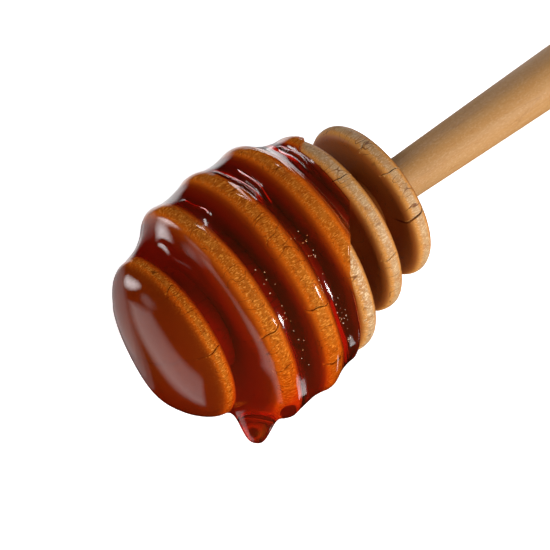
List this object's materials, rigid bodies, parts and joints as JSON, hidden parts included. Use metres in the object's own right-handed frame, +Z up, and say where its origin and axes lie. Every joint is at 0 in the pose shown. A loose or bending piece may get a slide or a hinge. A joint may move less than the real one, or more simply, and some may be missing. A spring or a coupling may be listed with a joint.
{
  "type": "honey dipper",
  "caption": "Turned wooden honey dipper with a long round handle and a ringed head coated in amber honey, lying on its side.",
  "frame": {"origin": "centre of the bounding box, at the height of the surface that the dipper lies on", "axes": "+Z up, +X from the coated tip towards the end of the handle, -Y the side that the honey has run down to"},
  "size_m": [0.1612, 0.0408, 0.0387],
  "materials": {
    "wood": "bare turned wood, fine grain",
    "honey": "clear amber honey, glossy"
  },
  "bodies": {
    "root": {"dipper": "wood", "honey": "honey"}
  },
  "joints": []
}
